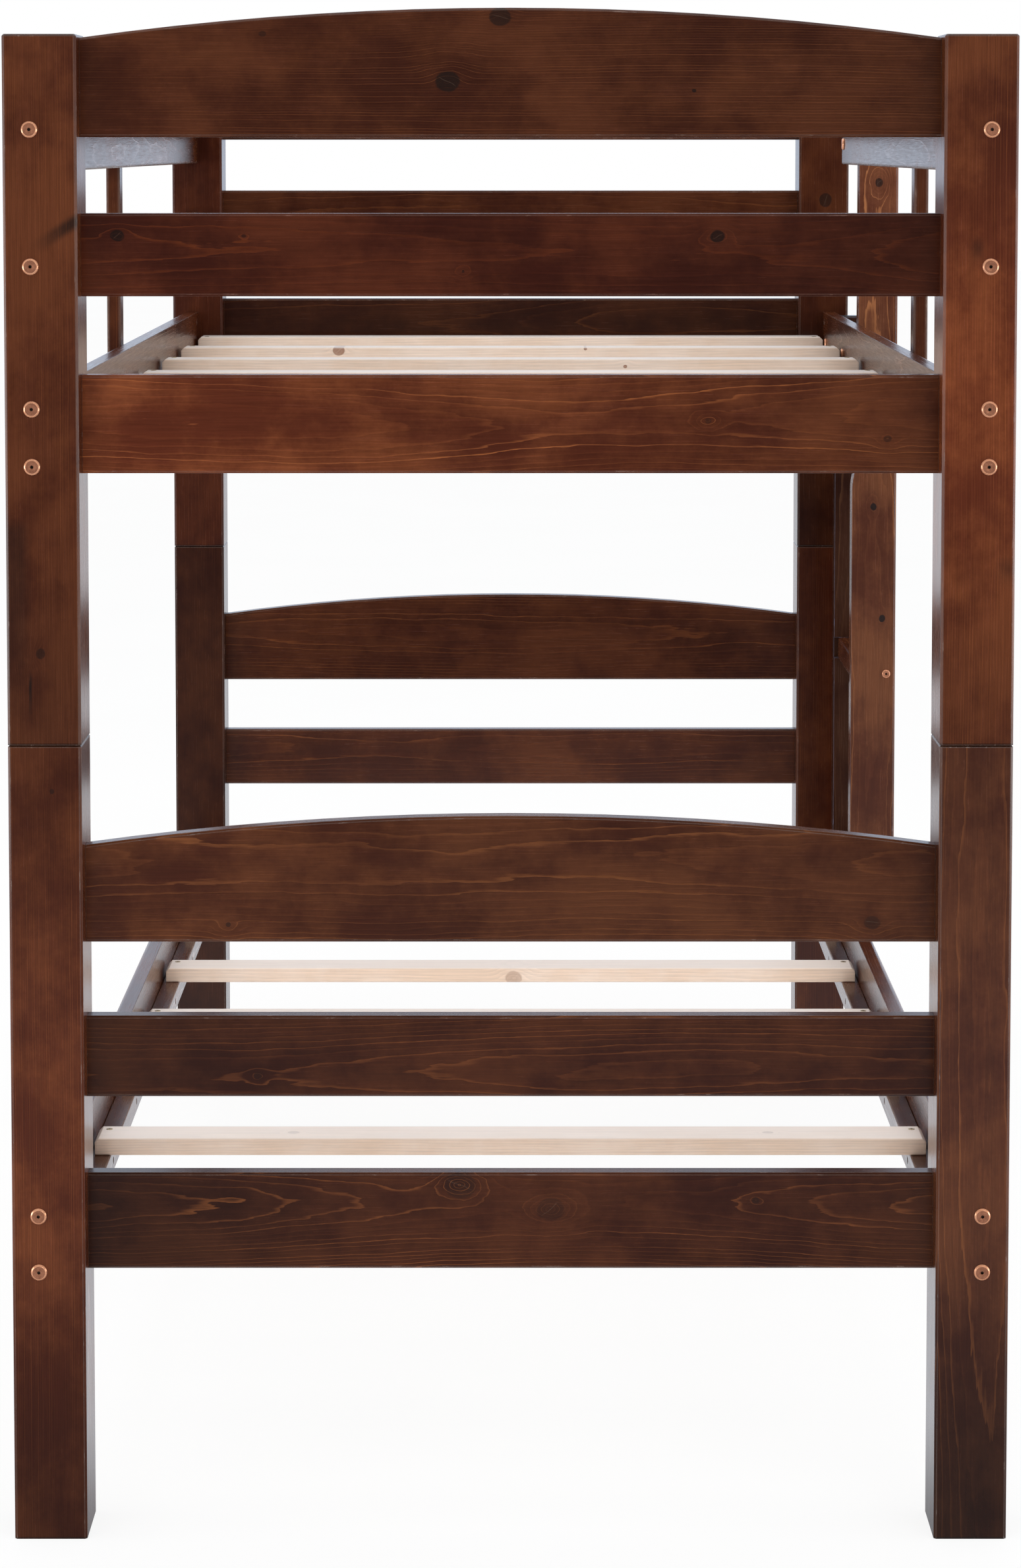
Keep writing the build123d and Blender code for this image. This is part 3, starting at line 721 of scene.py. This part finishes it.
def bolt_place(points):
    """The middle of a bolt head's top, the way its shank runs, its length and head radius."""
    low = Vector([min(p[i] for p in points) for i in range(3)])
    high = Vector([max(p[i] for p in points) for i in range(3)])
    size = high - low
    axis = max(range(3), key=lambda i: size[i])
    middle = (low + high) / 2

    def spread(level):
        """How far the points near one end reach from the bolt's axis."""
        near = [p - middle for p in points if abs(p[axis] - level) < BOLT_END_BAND]
        for off in near:
            off[axis] = 0
        return max(off.length for off in near)

    way = 1 if spread(low[axis]) > spread(high[axis]) else -1
    shank = Vector([way if i == axis else 0 for i in range(3)])
    top = middle.copy()
    top[axis] = low[axis] if way > 0 else high[axis]
    return top, shank, size[axis], max(spread(low[axis]), spread(high[axis]))


def turns(count):
    """Even angles round a circle."""
    return [2 * math.pi * k / count for k in range(count)]


def lathe(mesh, rows, matrix, count, slots):
    """Turns a profile of (radius, depth) rows round the depth axis.

    Slots gives the material of each band between two rows."""
    rings = []
    for radius, depth in rows:
        if radius == 0:
            rings.append([mesh.verts.new(matrix @ Vector((0, 0, depth)))])
            continue
        ring = []
        for angle in turns(count):
            point = Vector((radius * math.cos(angle), radius * math.sin(angle), depth))
            ring.append(mesh.verts.new(matrix @ point))
        rings.append(ring)
    for band, (a, b) in enumerate(zip(rings, rings[1:])):
        for k in range(count):
            n = (k + 1) % count
            corners = [a[k % len(a)], b[k % len(b)], b[n % len(b)], a[n % len(a)]]
            face = mesh.faces.new(list(dict.fromkeys(corners)))
            face.material_index = slots[band]
            face.smooth = True


def join_rings(mesh, rings, slots):
    """Flat faces between each ring of vertices and the next, and over the last one."""
    count = len(rings[0])
    for slot, outer, inner in zip(slots, rings, rings[1:]):
        for k in range(count):
            n = (k + 1) % count
            mesh.faces.new((outer[k], outer[n], inner[n], inner[k])).material_index = slot
    mesh.faces.new(rings[-1]).material_index = slots[-1]


def finish_piece(name, mesh, materials, body):
    """Makes a piece of a mesh, on the body that carries it."""
    bmesh.ops.remove_doubles(mesh, verts=mesh.verts, dist=SAME_POINT)
    bmesh.ops.recalc_face_normals(mesh, faces=mesh.faces)
    data = bpy.data.meshes.new(name)
    mesh.to_mesh(data)
    mesh.free()
    for material in materials:
        data.materials.append(material)
    piece = bpy.data.objects.new(name, data)
    scene.collection.objects.link(piece)
    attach(piece, body)
    return piece


def turned_to(top, shank):
    """A frame at a place whose Z runs along the shank."""
    return Matrix.Translation(top) @ shank.to_track_quat("Z", "Y").to_matrix().to_4x4()


def bolts(node_name, piece_name, body):
    """Turned bolts with a dished face, a bright rim and a hexagon socket, in place of the plain ones."""
    mesh = bmesh.new()
    for points in islands(node_name):
        top, shank, length, radius = bolt_place(points)
        matrix = turned_to(top, shank)
        rows = [(SOCKET_RADIUS * share, depth) for share, depth in (SOCKET_RIM, SOCKET_LIP)]
        rows += [(radius * share, depth) for share, depth in HEAD_PROFILE]
        rows += [
            (radius * HEAD_UNDERSIDE, HEAD_THICK),
            (SHANK_RADIUS, HEAD_THICK),
            (SHANK_RADIUS, length - SHANK_TIP_LENGTH),
            (SHANK_TIP_RADIUS, length),
            (0.0, length),
        ]
        lathe(mesh, rows, matrix, BOLT_SIDES, BOLT_BANDS)
        # The hexagon socket, from the edge of the dished face down to its floor; below its mouth the
        # walls and floor are painted near-black as painted shade
        mouth = []
        upper = []
        lower = []
        mouth_radius, mouth_depth = rows[0]
        for angle in turns(BOLT_SIDES):
            direction = Vector((math.cos(angle), math.sin(angle), 0))
            sector = (angle + math.pi / 6) % (math.pi / 3) - math.pi / 6
            flat = SOCKET_RADIUS * math.cos(math.pi / 6) / math.cos(sector)
            mouth.append(direction * mouth_radius + Vector((0, 0, mouth_depth)))
            upper.append(direction * flat + Vector((0, 0, SOCKET_TOP)))
            lower.append(direction * flat * SOCKET_TAPER + Vector((0, 0, SOCKET_FLOOR)))
        rings = [[mesh.verts.new(matrix @ p) for p in ring] for ring in (mouth, upper, lower)]
        join_rings(mesh, rings, (FACE_SLOT, RECESS_SHADE_SLOT))
    materials = [COPPER_RIM, COPPER_FACE, RECESS_SHADE]
    piece = finish_piece(piece_name, mesh, materials, body)
    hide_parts(node_name)


def screws(piece_name, places, body, radius):
    """Raised countersunk wood screws with a cross recess, each at a place and facing a way."""
    mesh = bmesh.new()
    for place, way in places:
        matrix = turned_to(Vector(place), Vector(way))
        rows = [(radius * share, height) for share, height in SCREW_PROFILE]
        lathe(mesh, rows, matrix, SCREW_SIDES, [0] * (len(rows) - 1))
        # The cross recess: the crown falls away inside a four-armed outline, its lower walls and floor
        # painted near-black as painted shade
        crown = []
        arms = []
        floor = []
        crown_radius, crown_height = rows[-1]
        for angle in turns(SCREW_SIDES):
            direction = Vector((math.cos(angle), math.sin(angle), 0))
            arm = max(abs(direction.x), abs(direction.y))
            side = min(abs(direction.x), abs(direction.y))
            slim = RECESS_ARM_WIDTH / max(RECESS_ARM_WIDTH, side)
            reach = radius * (RECESS_CORE + RECESS_REACH * slim * arm)
            crown.append(direction * crown_radius + Vector((0, 0, crown_height)))
            arms.append(direction * reach + Vector((0, 0, RECESS_TOP)))
            floor.append(direction * reach * RECESS_TAPER + Vector((0, 0, RECESS_FLOOR)))
        rings = [[mesh.verts.new(matrix @ p) for p in ring] for ring in (crown, arms, floor)]
        join_rings(mesh, rings, (0, 1))
    finish_piece(piece_name, mesh, [SCREW, RECESS_SHADE], body)


# Boards take their wood, and hardware its metal
HARDWARE = ("bolts", "nuts", "pins")
boards = [name for name in sorted(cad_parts) if not name.endswith(HARDWARE)]
for index, name in enumerate(boards):
    dress(name, index)
for name in ("lower_barrel_nuts", "upper_barrel_nuts", "stack_pins"):
    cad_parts[name].data.materials.clear()
    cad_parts[name].data.materials.append(ZINC)

bolts("lower_connector_bolts", "lower_turned_bolts", "lower_bunk")
bolts("upper_connector_bolts", "upper_turned_bolts", "upper_bunk")
bolts("ladder_bolts", "ladder_turned_bolts", "upper_bunk")
bolts("rung_bolts", "rung_turned_bolts", "upper_bunk")

# Wood screws: one through each slat end into its cleat, and those at the foot of the cleat holes
SLATS = 7
SLAT_SCREW_FROM_END = 0.013
SLAT_SCREW_OFF_MIDDLE = 0.015
CLEAT_SCREWS = 7
CLEAT_SCREW_FRONT_GAP = 0.031
CLEAT_SCREW_REAR_GAP = 0.151
CLEAT_BORE_DEPTH = 0.007
SCREW_HEAD_RADIUS = 0.004
for bunk in ("lower", "upper"):
    places = []
    for index in range(1, SLATS + 1):
        low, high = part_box(f"{bunk}_slat_{index}")
        off = SLAT_SCREW_OFF_MIDDLE if index < SLATS else -SLAT_SCREW_OFF_MIDDLE
        for x in (low.x + SLAT_SCREW_FROM_END, high.x - SLAT_SCREW_FROM_END):
            places.append(((x, (low.y + high.y) / 2 + off, high.z), (0, 0, 1)))
    screws(f"{bunk}_slat_screws", places, f"{bunk}_bunk", SCREW_HEAD_RADIUS)
    places = []
    for side, way in (("left", 1), ("right", -1)):
        low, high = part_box(f"{bunk}_cleat_{side}")
        inner = high.x if way > 0 else low.x
        pitch = (high.y - low.y - CLEAT_SCREW_FRONT_GAP - CLEAT_SCREW_REAR_GAP) / (CLEAT_SCREWS - 1)
        for index in range(CLEAT_SCREWS):
            y = low.y + CLEAT_SCREW_FRONT_GAP + pitch * index
            places.append(((inner - way * CLEAT_BORE_DEPTH, y, (low.z + high.z) / 2), (way, 0, 0)))
    screws(f"{bunk}_cleat_screws", places, f"{bunk}_bunk", SCREW_HEAD_RADIUS)


# Studio: pale floor, a white background and soft lamps
FLOOR_HALF = 40
FLOOR_DROP = 0.0003
FLOOR_CLOUD = (1.5, 1.5, 1.5)
FLOOR_CLOUD_RANGE = (0.3, 0.7)
FLOOR_SHADES = (0.90, 0.93)
FLOOR_SEEN_WHITE = 0.85
FLOOR_MIRRORED_TINT = (0.93, 0.95, 1.0, 1)
MIRRORED_FRONT = (1.0, 0.94, 0.86, 1)
MIRRORED_BACKDROP = (0.74, 0.84, 1.0, 1)
SOFT_LIGHT = (0.98, 0.99, 1.0, 1)
WHITE = (1, 1, 1, 1)

# Where a change of level starts and ends, along Y on the floor or in the Y of a direction, and the
# level at each end
FLOOR_FAR_FRONT = (-6.5, -3.0, 0.20, 0.68)
# The floor's reflected glow dips just in front of the bed as a painted shadow
FLOOR_NEAR_FRONT_SHADOW = (-3.2, -1.4, 1.0, 0.65)
FLOOR_UNDER_BED = (-1.1, -0.6, 0.0, 0.75)
BACKDROP_EDGE = (-0.25, 0.35)
BACKDROP_LEVELS = (0.26, 1.30)
SOFT_LIGHT_CHANGE = (0.6, -0.6, 0.75, 1.12)


def stage_floor():
    """A floor that looks nearly white to the camera and keeps its shadow."""
    data = bpy.data.meshes.new("floor")
    h = FLOOR_HALF
    data.from_pydata([(-h, -h, 0), (h, -h, 0), (h, h, 0), (-h, h, 0)], [], [(0, 1, 2, 3)])
    floor = bpy.data.objects.new("floor", data)
    floor.location.z = -FLOOR_DROP
    scene.collection.objects.link(floor)
    floor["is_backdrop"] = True
    material = bpy.data.materials.new("floor")
    material.use_nodes = True
    tree = material.node_tree
    tree.nodes.clear()
    place = node(tree, "TexCoord").outputs["Object"]
    cloud = noise(tree, place, FLOOR_CLOUD, 3.0).outputs["Fac"]
    shade = step(tree, cloud, *FLOOR_CLOUD_RANGE, *FLOOR_SHADES)
    matt = node(tree, "BsdfDiffuse", {"Color": shade})
    ray = node(tree, "LightPath")
    # In reflections the floor glows, brightest under and behind the bed, dimmer just in front of its
    # posts where a painted shadow falls, and dimmest far in front
    along = node(tree, "SeparateXYZ", {0: place}).outputs[1]
    mirrored = step(tree, along, *FLOOR_FAR_FRONT)
    mirrored = calc(tree, "MULTIPLY", mirrored, step(tree, along, *FLOOR_NEAR_FRONT_SHADOW))
    mirrored = calc(tree, "ADD", mirrored, step(tree, along, *FLOOR_UNDER_BED))
    level = node(tree, "Mix", {0: ray.outputs["Is Glossy Ray"], 2: 1.0, 3: mirrored}).outputs[0]
    tint = mix(tree, ray.outputs["Is Glossy Ray"], WHITE, FLOOR_MIRRORED_TINT)
    white = node(tree, "Emission", {"Color": tint, "Strength": level})
    seen = calc(tree, "MULTIPLY", ray.outputs["Is Camera Ray"], FLOOR_SEEN_WHITE)
    share = calc(tree, "MAXIMUM", seen, ray.outputs["Is Glossy Ray"])
    both = node(tree, "MixShader", {0: share, 1: matt.outputs[0], 2: white.outputs[0]})
    node(tree, "OutputMaterial", {"Surface": both.outputs[0]})
    data.materials.append(material)


def studio_world():
    """White to the camera; light and reflections each see a studio of their own."""
    world = bpy.data.worlds.new("studio")
    world.use_nodes = True
    scene.world = world
    tree = world.node_tree
    tree.nodes.clear()
    ray = node(tree, "LightPath")
    way = node(tree, "SeparateXYZ", {0: node(tree, "TexCoord").outputs["Generated"]}).outputs[1]
    # In reflections a bright, bluish backdrop stands behind the rear end, and the studio in front of
    # the bed is dim and warm
    level = step(tree, way, *BACKDROP_EDGE, *BACKDROP_LEVELS)
    tint = mix(tree, step(tree, way, *BACKDROP_EDGE), MIRRORED_FRONT, MIRRORED_BACKDROP)
    mirrored = node(tree, "Background", {"Color": tint, "Strength": level})
    # Other light is somewhat stronger from the front
    front = step(tree, way, *SOFT_LIGHT_CHANGE)
    soft = node(tree, "Background", {"Color": SOFT_LIGHT, "Strength": front})
    white = node(tree, "Background", {"Color": WHITE, "Strength": 1.0})
    glossy = calc(tree, "MAXIMUM", ray.outputs["Is Glossy Ray"], ray.outputs["Is Transmission Ray"])
    light = node(tree, "MixShader", {0: glossy, 1: soft.outputs[0], 2: mirrored.outputs[0]})
    shaders = {0: ray.outputs["Is Camera Ray"], 1: light.outputs[0], 2: white.outputs[0]}
    both = node(tree, "MixShader", shaders)
    node(tree, "OutputWorld", {"Surface": both.outputs[0]})


def lamp(name, place, target, size, power, colour):
    """A square lamp, its size in metres and its power in watts."""
    data = bpy.data.lights.new(name, "AREA")
    data.shape = "SQUARE"
    data.size = size
    data.energy = power
    data.color = colour
    made = bpy.data.objects.new(name, data)
    made.location = place
    made.rotation_euler = (Vector(target) - Vector(place)).to_track_quat("-Z", "Y").to_euler()
    scene.collection.objects.link(made)


stage_floor()
studio_world()
lamp("key", (2.6, -4.8, 3.6), (0.0, -0.4, 0.9), 2.6, 30, (1.0, 0.98, 0.95))
lamp("fill", (-3.2, -4.6, 2.6), (0.0, -0.4, 0.8), 3.0, 14, (0.97, 0.98, 1.0))
lamp("left", (-3.4, -1.0, 0.9), (0.0, -0.3, 0.4), 1.4, 34, (1.0, 1.0, 1.0))
lamp("right", (3.4, -1.0, 0.9), (0.0, -0.3, 0.4), 1.4, 34, (1.0, 1.0, 1.0))
lamp("top", (0.0, 0.6, 4.6), (0.0, 0.2, 0.0), 3.5, 45, (1.0, 1.0, 1.0))

low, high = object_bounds()
